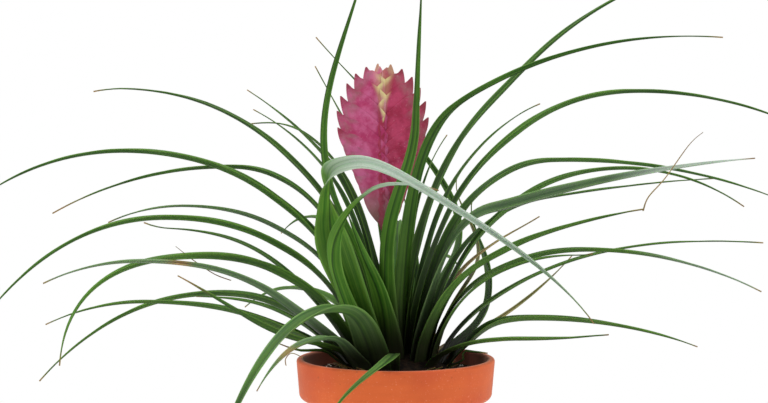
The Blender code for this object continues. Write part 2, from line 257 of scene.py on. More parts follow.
def innerRadius(height):
    size = potSizes
    underLip = size["rim"] - size["wall"]
    atFloor = size["foot"] - size["wall"] + 0.5
    return atFloor + (underLip - atFloor) * (height - size["floor"]) / (size["height"] - size["floor"])


def arc(centre, radius, start, end, count):
    angles = [math.radians(start + (end - start) * i / count) for i in range(count + 1)]
    return [(centre[0] + radius * math.cos(a), centre[1] + radius * math.sin(a)) for a in angles]


def spun(profile, sides):
    # Turns an outline of (radius, height) in millimetres round the pot's axis, closed if it starts off it
    bm = bmesh.new()
    corners = [bm.verts.new((radius * mm, 0, height * mm)) for radius, height in profile]
    edges = [bm.edges.new(pair) for pair in zip(corners, corners[1:])]
    if profile[0][0] > 0:
        edges.append(bm.edges.new((corners[-1], corners[0])))
    bmesh.ops.spin(bm, geom=corners + edges, cent=(0, 0, 0), axis=(0, 0, 1), angle=math.tau, steps=sides,
                   use_merge=True)
    bmesh.ops.remove_doubles(bm, verts=bm.verts[:], dist=0.001 * mm)
    bmesh.ops.recalc_face_normals(bm, faces=bm.faces[:])
    return bm


def terracottaMaterial():
    finish, tree, shader = newMaterial("terracotta")
    place = objectPlace(tree)
    cloud = grain(tree, place, 22, detail=4)
    rings = grain(tree, place, 30, stretch=(0.6, 0.6, 9), detail=2)
    speck = grain(tree, place, 900, detail=2)
    pores = grain(tree, place, 330, detail=3)
    clay = blendColours(tree, spread(tree, cloud, 0.35, 0.65), tint("#cc511e"), tint("#da642d"))
    clay = blendColours(tree, spread(tree, rings, 0.42, 0.62, 0, 0.15), clay, tint("#c4572b"))
    clay = blendColours(tree, spread(tree, speck, 0.62, 0.75, 0, 0.35), clay, tint("#f0a880"))
    clay = blendColours(tree, spread(tree, pores, 0.66, 0.78, 0, 0.5), clay, tint("#8f3c1c"))
    x, y, height = axes(tree, place)
    lime = maths(tree, "MULTIPLY", spread(tree, height, 0.02, 0.075, 1, 0),
                 spread(tree, grain(tree, place, 60, detail=5), 0.5, 0.7))
    clay = blendColours(tree, maths(tree, "MULTIPLY", lime, 0.4), clay, tint("#e6b49a"))
    # Painted shade: high on the inner wall, just under the rim, the clay darkens to a deep brown where the
    # pot's shadow falls
    squares = maths(tree, "ADD", maths(tree, "POWER", x, 2.0), maths(tree, "POWER", y, 2.0))
    inside = spread(tree, maths(tree, "SQRT", squares), 0.0566, 0.0574, 0.75, 0)
    paintedRimShade = maths(tree, "MULTIPLY", inside, spread(tree, height, 0.085, 0.095))
    clay = blendColours(tree, paintedRimShade, clay, tint("#5e2614"))
    feed(tree, clay, shader.inputs["Base Color"])
    feed(tree, spread(tree, cloud, 0.3, 0.7, 0.72, 0.9), shader.inputs["Roughness"])
    shader.inputs["Sheen Weight"].default_value = 0.35
    shader.inputs["Sheen Roughness"].default_value = 0.4
    shader.inputs["Sheen Tint"].default_value = (1.0, 0.72, 0.55, 1)
    relief = maths(tree, "ADD", maths(tree, "MULTIPLY", rings, 0.6), maths(tree, "MULTIPLY", pores, 0.5))
    raised(tree, shader, relief, 0.0004, 0.5)
    return finish


def makePot():
    size = potSizes
    bandFoot = size["height"] - size["band"]
    bodyTop = size["rim"] - size["bandTaper"] - size["bandStep"]
    rounding = size["drainRound"]
    profile = arc((size["drain"] + rounding, rounding), rounding, 180, 270, 3)
    profile += arc((size["foot"] - size["footRound"], size["footRound"]), size["footRound"], -90, -10, 6)
    tall = bandFoot - size["bodyFoot"] - size["bodyGap"]
    for i in range(1, size["bodyRings"]):
        share = i / size["bodyRings"]
        profile.append((size["foot"] + (bodyTop - size["foot"]) * share, size["bodyFoot"] + tall * share))
    profile += [(bodyTop, bandFoot - size["bodyGap"] / 2), (bodyTop + 0.5, bandFoot)]
    profile += arc((size["rim"] - size["bandTaper"] - size["shoulder"], bandFoot + size["shoulder"]),
                   size["shoulder"], -84, 0, 9)
    profile += arc((size["rim"] - size["lip"], size["height"] - size["lip"]), size["lip"], 0, 90, 6)
    profile += arc((size["rim"] - size["wall"] + size["lip"], size["height"] - size["lip"]), size["lip"],
                   90, 180, 6)
    profile += [(innerRadius(level), level) for level in size["inside"]]
    profile += [(innerRadius(size["floor"]) - size["floorIn"], size["floor"]), (size["drain"], size["floor"])]
    bm = spun(profile, size["sides"])
    # Thrown clay is never quite even. The foot, the top of the lip and the middle stay true.
    for vert in bm.verts:
        reach = math.hypot(vert.co.x, vert.co.y)
        uneven = size["evenFoot"] * mm < vert.co.z < size["evenLip"] * mm
        if uneven and reach > size["evenMiddle"] * mm:
            wave = noise.noise(vert.co * size["waveSize"]) * size["wave"] * mm - size["waveIn"] * mm
            vert.co.x += vert.co.x / reach * wave
            vert.co.y += vert.co.y / reach * wave
    addPiece("potClay", bm, terracottaMaterial(), ["pot"])


# Soil, with bark and perlite

soilSizes = dict(level=99.5, mound=2.5, hole=33.3, sides=120, rings=14, gap=0.6, underside=8, middle=8,
                 footIn=4, chamfer=3, crumb=1.3, crumbSize=130, crumbDown=0.6, evenSide=0.2, evenRim=0.4)
bitShape = dict(innermost=0.36, rimFree=2.2, lift=0.2, lumps=0.35, narrow=(0.45, 0.9), squash=(0.7, 1),
                tilt=0.5)
bitKinds = {
    "barkBits": dict(count=260, radius=(0.7, 2.6), flat=0.45, name="bark", dark="#2a1c13", light="#6e4d33",
                     scale=420),
    "perliteBits": dict(count=70, radius=(0.5, 1.3), flat=0.8, name="perlite", dark="#b9b2a6",
                        light="#eeebe4", scale=600),
}


def soilEdge():
    return innerRadius(soilSizes["level"]) - soilSizes["gap"]


def soilHeight(reach):
    outer = soilEdge()
    return soilSizes["level"] + soilSizes["mound"] * ease((outer - reach) / (outer - soilSizes["hole"]))


def soilMaterial():
    finish, tree, shader = newMaterial("pottingSoil")
    place = objectPlace(tree)
    coarse = grain(tree, place, 160, detail=6, roughness=0.7)
    fine = grain(tree, place, 700, detail=3)
    earth = blendColours(tree, spread(tree, coarse, 0.35, 0.68), tint("#120d0a"), tint("#2f2118"))
    earth = blendColours(tree, spread(tree, fine, 0.62, 0.75, 0, 0.6), earth, tint("#6b5138"))
    feed(tree, earth, shader.inputs["Base Color"])
    shader.inputs["Roughness"].default_value = 0.95
    shader.inputs["Specular IOR Level"].default_value = 0.1
    raised(tree, shader, coarse, 0.0012, 0.9)
    return finish


def chipMaterial(name, dark, light, scale):
    finish, tree, shader = newMaterial(name)
    place = objectPlace(tree)
    streak = grain(tree, place, scale, detail=5, roughness=0.7)
    feed(tree, blendColours(tree, spread(tree, streak, 0.35, 0.65), tint(dark), tint(light)),
         shader.inputs["Base Color"])
    shader.inputs["Roughness"].default_value = 0.9
    raised(tree, shader, streak, 0.0004, 0.6)
    return finish


def makeSoil():
    size = soilSizes
    outer = soilEdge()
    foot = size["underside"]
    corner = foot + size["chamfer"]
    profile = [(0, foot), (innerRadius(potSizes["floor"]) - size["footIn"], foot),
               (innerRadius(corner) - size["gap"], corner), (outer, size["level"])]
    for i in range(1, size["rings"] + 1):
        reach = outer - (outer - size["middle"]) * i / size["rings"]
        profile.append((reach, soilHeight(reach)))
    profile += [(0, size["level"] + size["mound"])]
    bm = spun(profile, size["sides"])
    for vert in bm.verts:
        reach = math.hypot(vert.co.x, vert.co.y)
        if vert.co.z > (size["level"] - size["evenSide"]) * mm and reach < outer * mm - size["evenRim"] * mm:
            crumb = noise.fractal(vert.co * size["crumbSize"], 1.0, 2.0, 4)
            vert.co.z += crumb * size["crumb"] * mm - size["crumbDown"] * mm
    addPiece("soilBed", bm, soilMaterial(), ["soil"])


def scatterBit(bits, radius, flat):
    # One lump, squashed and turned at random, on the outer part of the soil
    shape = bitShape
    reach = math.sqrt(random.uniform(shape["innermost"], 1)) * (soilEdge() - shape["rimFree"])
    turn = random.uniform(0, math.tau)
    across = random.uniform(*radius)
    height = soilHeight(reach) + shape["lift"]
    centre = Vector((reach * math.cos(turn), reach * math.sin(turn), height)) * mm
    made = bmesh.ops.create_icosphere(bits, subdivisions=1, radius=across * mm)["verts"]
    for vert in made:
        vert.co *= 1 + shape["lumps"] * noise.noise(vert.co / mm + centre / mm)
    squash = (1, random.uniform(*shape["narrow"]), flat * random.uniform(*shape["squash"]))
    bmesh.ops.scale(bits, vec=squash, verts=made)
    spin = Matrix.Rotation(random.uniform(0, math.tau), 3, "Z")
    spin = spin @ Matrix.Rotation(random.uniform(-shape["tilt"], shape["tilt"]), 3, "X")
    bmesh.ops.rotate(bits, cent=(0, 0, 0), verts=made, matrix=spin)
    bmesh.ops.translate(bits, vec=centre, verts=made)


def makeBits():
    random.seed(41)
    for name, kind in bitKinds.items():
        bits = bmesh.new()
        for _ in range(kind["count"]):
            scatterBit(bits, kind["radius"], kind["flat"])
        finish = chipMaterial(kind["name"], kind["dark"], kind["light"], kind["scale"])
        addPiece(name, bits, finish, smooth=False)


# Leaves: the rule of the solids in finer steps, with broader feet

leafSizes = dict(thickness=0.65, fold=38, foldStart=20, foldFull=75, tip=1.3, taper=1.9, heart=6.5,
                 pitch=1.75, margin=0.9, flare=0.7, span=85, typicalRoot=12, rootHandle=0.55,
                 bendHandle=0.6, sunk=2.8, sunkEnd=0.05, clasp=0.55, claspEnd=0.38, step=3.6, coarseStep=19,
                 smooth=40, closer=1.35, across=10, clearance=0.3, steepest=0.35, keelRound=0.03,
                 keelRise=0.173, edgeRise=0.842, edgeThin=0.62, uneven=0.05, unevenSize=30, unevenApart=3.7,
                 evenTip=0.97, foldFrom=0.35, foldOver=0.4, flatten=0.65, ripplePitch=0.11, rippleApart=7)
leafLooks = dict(tone=0.4, toneFrom=0.6, toneOver=0.35, silver=0.02, silverFrom=0.6, silverOver=0.3,
                 archFade=0.4, tipDry=0.035, scar=0.9, maroon=0.25, maroonVaries=0.35, maroonEnd=0.4)
crownSizes = dict(radius=33, top=111, edge=102.5, underside=88.5, rings=12, sides=72, evenEdge=2,
                  lumpSize=300, lump=0.5, lumpDown=0.4)


def leaf(side, heading, bend, tip, width, swing=0, turns=(0.12, 1), lean=0, rise=0, hook=0.5, roll=0,
         rolls=(0, 0.5), **look):
    # Bend and tip are (reach, height) in millimetres from the pot's axis and underside; angles in degrees.
    # Look: tone is how bright and yellow the green is, and tipTone the same at the tip. Arch and scar give
    # the centre and spread, as shares of the length, of a silver and a dry stretch; the silver over an arch
    # is grey scales with a painted highlight from the light above. Broad widens the blade and flat opens its
    # fold about such a centre, clasp widens the foot, and tipDry is the length of the dry tip. The rest are
    # amounts of a colour.
    return dict(side=side, heading=math.radians(heading), bend=Vector(bend) * mm, tip=Vector(tip) * mm,
                width=width * mm, swing=math.radians(swing), turns=turns, lean=math.radians(lean),
                rise=math.radians(rise), hook=hook, roll=math.radians(roll), rolls=rolls, look=look)


# The settings of the solids, each with its looks. The last front leaf leans out more here at its foot.
leafRows = [
    leaf("left", 158, (185, 270), (207, 268), 11, tone=0.25),
    leaf("left", 176, (163, 234), (262, 199), 14, lean=3, tone=0.35),
    leaf("left", 170, (100, 224), (216, 193), 11, lean=3, tone=0.3, tipDry=0.12),
    leaf("left", 189, (138, 196), (250, 130), 13, tone=0.4),
    leaf("left", 175, (127, 200), (176, 189), 10, tone=0.25, silver=0.12),
    leaf("left", 161, (150, 183), (167, 186), 9, lean=28, tone=0.2),
    leaf("left", 198, (122, 175), (204, 112), 16, lean=15, hook=0.75, tone=0.4, tipTone=0.75),
    leaf("left", 206, (168, 174), (220, 163), 13, lean=35, tone=0.35, silver=0.18, scar=(0.62, 0.05)),
    leaf("left", 210, (100, 140), (144, 165), 12, lean=34, rise=30, tone=0.3, tipDry=0.2),
    leaf("left", 184, (150, 144), (210, 130), 11, lean=40, tone=0.35),
    leaf("left", 177, (107, 148), (218, 92), 12, lean=33, tone=0.35),
    leaf("left", 166, (115, 142), (127, 142), 9, lean=30, tone=0.3),
    leaf("left", 228, (68, 127), (118, 101), 11, lean=41, tone=0.45, silver=0.15, scar=(0.7, 0.1)),
    leaf("left", 194, (50, 114), (72, 119), 8, lean=48, tone=0.3, tipDry=0.3),
    leaf("left", 140, (90, 252), (123, 269), 8, rise=30, tone=0.2),
    leaf("left", 132, (91, 237), (137, 256), 6, rise=28, tone=0.2),
    leaf("left", 149, (90, 249), (107, 248), 7, tone=0.2),
    leaf("right", 20, (88, 288), (203, 346), 13, rise=42, tone=0.3),
    leaf("right", -50, (45, 260), (194, 301), 10, swing=39, turns=(0.3, 0.9), rise=38, tone=0.35),
    leaf("right", 10, (148, 270), (266, 242), 13, tone=0.35),
    leaf("right", 43, (104, 252), (127, 260), 6, rise=24, tone=0.2),
    leaf("right", 25, (108, 227), (289, 193), 11, tone=0.35),
    leaf("right", 7, (138, 223), (216, 198), 12, lean=6, tone=0.35),
    leaf("right", -19, (60, 200), (216, 232), 16, lean=2, rise=18, roll=35, tone=0.25, silver=0.12,
         tipSilver=0.9),
    leaf("right", 31, (110, 202), (250, 210), 6, rise=6, tone=0.2),
    leaf("right", -27, (120, 195), (158, 203), 14, rise=14, tone=0.4, tipDry=0.08),
    leaf("right", 14, (190, 175), (239, 173), 6, lean=12, tone=0.25),
    leaf("right", -7, (115, 176), (218, 151), 11, tone=0.25, tipSilver=0.4),
    leaf("right", -15, (112, 173), (120, 174), 8, tone=0.4),
    leaf("right", 43, (92, 126), (158, 160), 7, lean=45, rise=20, tone=0.25, dry=0.45),
    leaf("right", 4, (80, 133), (185, 113), 12, lean=35, tone=0.35),
    leaf("right", -36, (88, 127), (148, 133), 9, lean=45, rise=3, tone=0.3),
    leaf("right", -9, (42, 113), (56, 112), 6, lean=55, tone=0.6),
    leaf("right", 26, (102, 171), (125, 197), 10, swing=40, lean=40, rise=40, tone=0.2),
    leaf("right", 36, (93, 181), (113, 189), 6, rise=20, tone=0.2, dry=0.6),
    leaf("right", 23, (96, 183), (126, 212), 6, swing=48, rise=38, tone=0.2, dry=0.3),
    leaf("right", 60, (49, 229), (65, 241), 5, rise=42, tone=0.2),
    leaf("front", -135, (122, 232), (171, 145), 16, swing=90, turns=(0.22, 1.15), lean=18, rise=11,
         hook=0.41, roll=150, rolls=(0.05, 0.6), tone=0.6, arch=(0.73, 0.25), tipTone=0.75,
         broad=(0.36, 0.3, 0.4), flat=(0.24, 0.22)),
    leaf("front", -132, (106, 218), (113, 216), 14.6, swing=60, turns=(0.4, 1.15), lean=30, rise=-10,
         hook=0.8, roll=110, rolls=(0.35, 0.85), tone=0.65, arch=(0.98, 0.25), tipDry=0.06),
    leaf("front", -115, (34, 175), (46, 200), 14, swing=-14, rise=66, tone=0.65, maroon=0.6),
    leaf("front", -158, (62, 246), (88, 352), 13, swing=60, turns=(0.15, 1.1), rise=70, tone=0.5),
    leaf("front", -132, (39, 247), (55, 346), 11, swing=58, turns=(0.05, 0.6), rise=80, tone=0.45),
    leaf("front", 242, (82, 148), (212, 66), 15, lean=15, tone=0.45, silver=0.08),
    leaf("front", -91, (45, 116), (110, 82), 9, swing=-20, lean=52, hook=0.6, tone=0.45, silver=0.05,
         clasp=-0.4, flat=(0.15, 0.6)),
    leaf("back", 46, (103, 221), (132, 303), 8, swing=80, turns=(0.12, 1.3), rise=68, tone=0.2),
    leaf("back", 127, (45, 243), (84, 284), 6, rise=46, tone=0.2),
    leaf("back", 50, (53, 200), (63, 213), 5, swing=36, rise=52, tone=0.2),
    leaf("back", 76, (118, 160), (193, 142), 11, lean=25, tone=0.35),
    leaf("back", 89, (128, 182), (189, 172), 12, tone=0.3),
    leaf("back", 102, (113, 150), (190, 120), 12, lean=25, tone=0.4),
    leaf("back", 114, (125, 186), (190, 170), 11, tone=0.3),
    leaf("back", 124, (105, 142), (180, 122), 11, lean=30, tone=0.35),
]


def crownHeight(reach):
    size = crownSizes
    return (size["top"] - (size["top"] - size["edge"]) * (reach / mm / size["radius"]) ** 2) * mm


def curvePoint(points, share):
    while len(points) > 1:
        points = [a.lerp(b, share) for a, b in zip(points, points[1:])]
    return points[0]


def leafRoute(row, footReach, step):
    # Points along the leaf: share of its length, reach and height
    size = leafSizes
    root = Vector((footReach, crownHeight(footReach - size["thickness"] * mm) + size["clearance"] * mm))
    bend = row["bend"]
    along = Vector((math.cos(row["rise"]), math.sin(row["rise"])))
    lift = (bend.y - root.y) * size["rootHandle"]
    lean = row["lean"] + math.radians(size["flare"]) * (footReach / mm - size["heart"])
    start = root + Vector((lift * math.tan(lean), lift))
    run = (bend.x - root.x) * size["bendHandle"] / max(along.x, size["steepest"])
    before = bend - along * min(run, 0.5 * (bend - root).length)
    steps = size["smooth"]
    points = [curvePoint([root, start, before, bend], i / steps) for i in range(steps)]
    knee = bend + along * (row["tip"] - bend).length * row["hook"]
    points += [curvePoint([bend, knee, row["tip"]], i / steps) for i in range(steps + 1)]
    lengths = [0]
    for a, b in zip(points, points[1:]):
        lengths.append(lengths[-1] + (b - a).length)
    count = max(6, round(lengths[-1] / (step * mm)))
    stations = []
    spot = 0
    for i in range(count + 1):
        share = (i / count) ** size["closer"]
        goal = share * lengths[-1]
        while spot < len(points) - 2 and lengths[spot + 1] < goal:
            spot += 1
        part = (goal - lengths[spot]) / (lengths[spot + 1] - lengths[spot])
        here = points[spot].lerp(points[spot + 1], min(part, 1))
        stations.append((share, here.x, here.y))
    return stations, lengths[-1]


def leafLine(row, footReach):
    # The keel in space, with a side direction carried along it untwisted and then rolled by the row's roll
    size = leafSizes
    route, length = leafRoute(row, footReach, size["step"])
    line = []
    for share, reach, height in route:
        first, last = row["turns"]
        turn = row["heading"] + row["swing"] * ease((share - first) / (last - first))
        sunk = size["sunk"] * mm * (1 - ease(share / size["sunkEnd"]))
        line.append((share, Vector((reach * math.cos(turn), reach * math.sin(turn), height - sunk))))
    side = Vector((-math.sin(row["heading"]), math.cos(row["heading"]), 0))
    stations = []
    for i, (share, spot) in enumerate(line):
        tangent = (line[min(i + 1, len(line) - 1)][1] - line[max(i - 1, 0)][1]).normalized()
        side = (side - tangent * side.dot(tangent)).normalized()
        first, last = row["rolls"]
        rolled = Matrix.Rotation(row["roll"] * ease((share - first) / (last - first)), 3, tangent) @ side
        stations.append((share, spot, rolled, tangent.cross(rolled)))
    return stations, length


def halfWidth(row, share):
    return max(row["width"] * (1 - share ** leafSizes["taper"]), leafSizes["tip"] * mm) / 2


def steepness(row):
    heart = Vector((0, crownSizes["top"] * mm))
    for _, reach, height in leafRoute(row, leafSizes["typicalRoot"] * mm, leafSizes["coarseStep"])[0]:
        spot = Vector((reach, height)) - heart
        if spot.length > leafSizes["span"] * mm:
            break
    return math.atan2(spot.y, spot.x)


def rootReach(row, placed):
    # The smallest radius that clears the sheath of every steeper leaf beside it
    size = leafSizes
    reach = size["heart"] * mm
    moved = True
    while moved:
        moved = False
        for other, otherReach in placed:
            apart = abs((row["heading"] - other["heading"] + math.pi) % math.tau - math.pi)
            room = halfWidth(row, 0) / reach + halfWidth(other, 0) / otherReach + size["margin"] * mm / reach
            if apart < room and reach < otherReach + size["pitch"] * mm - 1e-9:
                reach = otherReach + size["pitch"] * mm
                moved = True
    return reach


def bladeSpot(half, foldAmount, fold, station, across, thickness):
    # A point of the blade: across runs from -1 to 1, with the keel at 0. The keel is a rounded V.
    spot, side, inward = station[1:]
    keel = spot - inward * half * math.sin(fold) * foldAmount
    soft = math.sqrt(across * across + leafSizes["keelRound"])
    rounded = (soft - leafSizes["keelRise"]) / leafSizes["edgeRise"]
    lift = inward * math.sin(fold) * half * rounded
    flat = side * across * math.cos(fold) * half
    slope = across / soft
    normal = (inward * math.cos(fold) - side * slope * math.sin(fold)).normalized()
    return keel + flat + lift + normal * thickness


def lookOf(look, share, seed):
    # What the leaf's material shows at this share of its length: dry, maroon, silver and tone
    usual = leafLooks
    tipDry = look.get("tipDry", usual["tipDry"])
    dry = max(ease((share - 1 + tipDry) / tipDry), look.get("dry", 0))
    if "scar" in look:
        dry = max(dry, bump01(share, *look["scar"]) * usual["scar"])
    varied = usual["maroon"] + usual["maroonVaries"] * noise.noise(Vector((seed, 3, 1)))
    maroon = (1 - ease(share / usual["maroonEnd"])) * look.get("maroon", varied)
    silver = look.get("silver", usual["silver"])
    # Over an arch the silver is the grey scales and also a painted highlight where the blade faces the light
    # above
    if "arch" in look:
        silver = max(silver, bump01(share, *look["arch"]) ** usual["archFade"])
    silverTip = ease((share - usual["silverFrom"]) / usual["silverOver"])
    silver = max(silver, silverTip * look.get("tipSilver", 0))
    tone = look.get("tone", usual["tone"])
    tone += (look.get("tipTone", tone) - tone) * ease((share - usual["toneFrom"]) / usual["toneOver"])
    return dry, maroon, silver, tone


def bladeMesh(stations, length, halfAt, foldAt, look, seed, across=10, thickness=0.65, ripple=0.2):
    # A channelled blade with thin edges. Its UV map runs across and along it, in metres. The thickness and
    # the ripple are in millimetres.
    thickness *= mm
    count = len(stations) - 1
    bm = bmesh.new()
    layer = bm.loops.layers.uv.new("leafUv")
    states = bm.verts.layers.float_color.new("leafState")
    edges = bm.verts.layers.float.new("leafEdge")
    spots = {vert: (round((grid.x + 1) / 2 * count), grid.y, top)
             for vert, grid, top in slab(bm, count, across)}
    for face in bm.faces:
        for loop in face.loops:
            index, place = spots[loop.vert][:2]
            share = stations[index][0]
            loop[layer].uv = (place * halfAt(share), share * length)
    for vert, (index, place, top) in spots.items():
        share = stations[index][0]
        foldAmount, fold = foldAt(stations[index])
        phase = share * length / mm * leafSizes["ripplePitch"] + seed * leafSizes["rippleApart"]
        wave = ripple * mm * place * place * math.sin(phase + 2 * place)
        thin = thickness * (1 - leafSizes["edgeThin"] * place * place)
        height = (thickness - thin) / 2 + thin * top + wave * ease(share * 4)
        vert.co = bladeSpot(halfAt(share), foldAmount, fold, stations[index], place, height)
        vert[states] = lookOf(look, share, seed)
        vert[edges] = abs(place)
    bmesh.ops.recalc_face_normals(bm, faces=bm.faces[:])
    return bm


def leafMaterial():
    # Green streaks with pale margins, which are painted light shining through the thin edges, and a dark keel
    # line of painted shade in the channel. A grey coat of fine scales, which over the arches is also a
    # painted highlight, dark maroon feet, painted shade where the feet sit deep in the rosette, and dry tips
    finish, tree, shader = newMaterial("leafBlade")
    along = uvPlace(tree, "leafUv")
    place = objectPlace(tree)
    dry, maroon, silver, tone = storedState(tree, "leafState")
    streak = grain(tree, along, 1, stretch=(620, 6, 1))
    broad = grain(tree, along, 1, stretch=(260, 5, 1), detail=2)
    patch = grain(tree, place, 34)
    scales = grain(tree, along, 1, stretch=(3600, 900, 1), detail=2)
    green = blendColours(tree, spread(tree, streak, 0.34, 0.66), tint("#102c06"), tint("#1c4209"))
    lively = blendColours(tree, spread(tree, streak, 0.34, 0.66), tint("#3d7a17"), tint("#72a530"))
    uneven = maths(tree, "MULTIPLY", maths(tree, "SUBTRACT", patch, 0.5), 0.7)
    blade = blendColours(tree, maths(tree, "ADD", tone, uneven, clamp=True), green, lively)
    blade = blendColours(tree, spread(tree, broad, 0.55, 0.72, 0, 0.25), blade, tint("#3c7418"))
    fromKeel, fromFoot = axes(tree, along)[:2]
    # Painted shade: a dark green line along the keel stands for the shade in the leaf's channel
    keelChannelShade = spread(tree, maths(tree, "ABSOLUTE", fromKeel), 0.0002, 0.0011, 0.6, 0)
    blade = blendColours(tree, keelChannelShade, blade, tint("#1a2f10"))
    # Painted light: the blade turns pale green towards its edges, standing for light shining through the thin
    # margins
    margin = addNode(tree, "ShaderNodeAttribute", attribute_name="leafEdge").outputs["Fac"]
    blade = blendColours(tree, spread(tree, margin, 0.8, 0.97, 0, 0.42), blade, tint("#7da548"))
    # The pale silver is the grey scales, and over the arches a painted highlight as well
    bloomAndHighlight = maths(tree, "MULTIPLY", silver, spread(tree, streak, 0.25, 0.6, 0.55, 1.0))
    bloomAndHighlight = maths(tree, "MULTIPLY", bloomAndHighlight, spread(tree, scales, 0.3, 0.6, 0.75, 1.0), clamp=True)
    frost = blendColours(tree, spread(tree, broad, 0.35, 0.65), tint("#b0c6b6"), tint("#e6eee6"))
    blade = blendColours(tree, bloomAndHighlight, blade, frost)
    foot = maths(tree, "MULTIPLY", maroon, spread(tree, streak, 0.3, 0.55, 0.35, 1.0), clamp=True)
    blade = blendColours(tree, foot, blade, tint("#33110d"))
    # Painted shade: the first few centimetres of each blade darken to near black where they sit deep in the
    # rosette
    paintedFootShade = spread(tree, fromFoot, 0.004, 0.045, 0.9, 0)
    blade = blendColours(tree, paintedFootShade, blade, tint("#130c08"))
    husk = blendColours(tree, spread(tree, streak, 0.35, 0.65), tint("#6a4a2a"), tint("#b99a66"))
    worn = maths(tree, "MULTIPLY", dry, spread(tree, patch, 0.2, 0.55, 0.6, 1.15), clamp=True)
    blade = blendColours(tree, worn, blade, husk)
    feed(tree, blade, shader.inputs["Base Color"])
    feed(tree, spread(tree, streak, 0.3, 0.7, 0.44, 0.6), shader.inputs["Roughness"])
    shader.inputs["Specular IOR Level"].default_value = 0.14
    shader.inputs["Subsurface Weight"].default_value = 0.12
    shader.inputs["Subsurface Radius"].default_value = (0.3, 1.0, 0.15)
    shader.inputs["Subsurface Scale"].default_value = 0.0015
    raised(tree, shader, streak, 0.00012, 0.35)
    return finish


def leafMesh(row, seed, footReach):
    size = leafSizes
    look = row["look"]
    stations, length = leafLine(row, footReach)

    def halfAt(share):
        spot = Vector((share * length * size["unevenSize"], seed * size["unevenApart"], 0))
        uneven = 1 + size["uneven"] * noise.noise(spot)
        clasping = 1 + look.get("clasp", size["clasp"]) * (1 - ease(share / size["claspEnd"]))
        centre, around, amount = look.get("broad", (0, 1, 0))
        clasping += amount * bump01(share, centre, around)
        return halfWidth(row, share) * clasping * (uneven if share < size["evenTip"] else 1)

    def foldAt(station):
        # The foot lies round the crown's axis, and farther out the blade folds along its keel
        share, spot = station[:2]
        reach = math.hypot(spot.x, spot.y) / mm
        clasp = halfAt(share) / mm / (2 * reach)
        far = max(ease((reach - size["foldStart"]) / (size["foldFull"] - size["foldStart"])),
                  ease((share - size["foldFrom"]) / size["foldOver"]))
        fold = math.radians(size["fold"])
        if "flat" in look:
            fold *= 1 - size["flatten"] * bump01(share, *look["flat"])
        return far, clasp + (fold - clasp) * far

    return bladeMesh(stations, length, halfAt, foldAt, look, seed, size["across"], size["thickness"])


def makeLeaves(finish):
    placed = []
    for row in sorted(leafRows, key=steepness, reverse=True):
        placed.append((row, rootReach(row, placed)))
    reachOf = {id(row): reach for row, reach in placed}
    numbers = {}
    for seed, row in enumerate(leafRows):
        side = row["side"]
        numbers[side] = numbers.get(side, 0) + 1
        number = f"{numbers[side]:02d}"
        bm = leafMesh(row, seed, reachOf[id(row)])
        addPiece(f"leaf{side.capitalize()}{number}", bm, finish, [f"leaf_{side}_{number}"])


def roundedCurve(before, here, there, after, t):
    # A point between here and there on a smooth curve through all four
    bend = 2 * before - 5 * here + 4 * there - after
    twist = 3 * here - before - 3 * there + after
    return 0.5 * ((2 * here) + (there - before) * t + bend * t ** 2 + twist * t ** 3)


def stripLine(points):
    # Stations on a smooth curve through points given as (reach, heading, height), in millimetres and degrees
    line = []
    for reach, heading, height in points:
        turn = math.radians(heading)
        line.append(Vector((reach * math.cos(turn), reach * math.sin(turn), height)) * mm)
    padded = [line[0], *line, line[-1]]
    steps = 8
    fine = [roundedCurve(*four, step / steps) for four in zip(padded, padded[1:], padded[2:], padded[3:])
            for step in range(steps)]
    fine.append(line[-1])
    length = sum((b - a).length for a, b in zip(fine, fine[1:]))
    travelled = 0
    side = Vector((0, 0, 1)).cross(fine[-1] - fine[0]).normalized()
    stations = []
    for i, spot in enumerate(fine):
        if i:
            travelled += (spot - fine[i - 1]).length
        tangent = (fine[min(i + 1, len(fine) - 1)] - fine[max(i - 1, 0)]).normalized()
        side = (side - tangent * side.dot(tangent)).normalized()
        stations.append((travelled / length, spot, side, tangent.cross(side)))
    return stations, length


def makeWisps(finish):
    # Dead leaf ends that are too thin for the solids
    wisps = {
        "kinkedTip": dict(points=[(157, -26, 202), (161, -27, 210), (170, -26, 221), (183, -25, 240),
                                  (190, -24, 247)], width=2.2, end=0.5),
        "curledWisp": dict(points=[(76, -148, 109), (77, -147, 113), (73, -147, 116), (66, -146, 113)],
                           width=1.4, end=0.6),
        "strayWisp": dict(points=[(102, -163, 158), (112, -162, 162), (124, -162, 170), (135, -163, 179)],
                          width=1.6, end=0.4),
    }
    look = dict(dry=1.0, silver=0.1, maroon=0, tone=0.3)
    for seed, (name, wisp) in enumerate(wisps.items()):
        stations, length = stripLine(wisp["points"])

        def halfAt(share, wisp=wisp):
            return (wisp["width"] + (wisp["end"] - wisp["width"]) * share) * mm / 2

        bm = bladeMesh(stations, length, halfAt, lambda station: (0.5, math.radians(30)), look, seed + 90,
                       across=4, thickness=0.35, ripple=0.1)
        addPiece(name, bm, finish)


# Crown, with dry sheaths round it

sheathSizes = dict(count=26, foot=100, scatter=5, reach=(30.5, 32.3), tall=(3, 6.5), out=(2.5, 7), twist=4,
                   wide=(2.2, 4.6), taper=1.6, tip=0.25, thickness=0.35, fold=24, across=4)


def sheathMaterial():
    finish, tree, shader = newMaterial("oldSheaths")
    fibre = grain(tree, objectPlace(tree), 120, stretch=(3, 3, 0.6), detail=5)
    rough = blendColours(tree, spread(tree, fibre, 0.35, 0.65), tint("#0d0907"), tint("#241910"))
    feed(tree, rough, shader.inputs["Base Color"])
    shader.inputs["Roughness"].default_value = 0.9
    shader.inputs["Specular IOR Level"].default_value = 0.1
    raised(tree, shader, fibre, 0.0008, 0.8)
    return finish


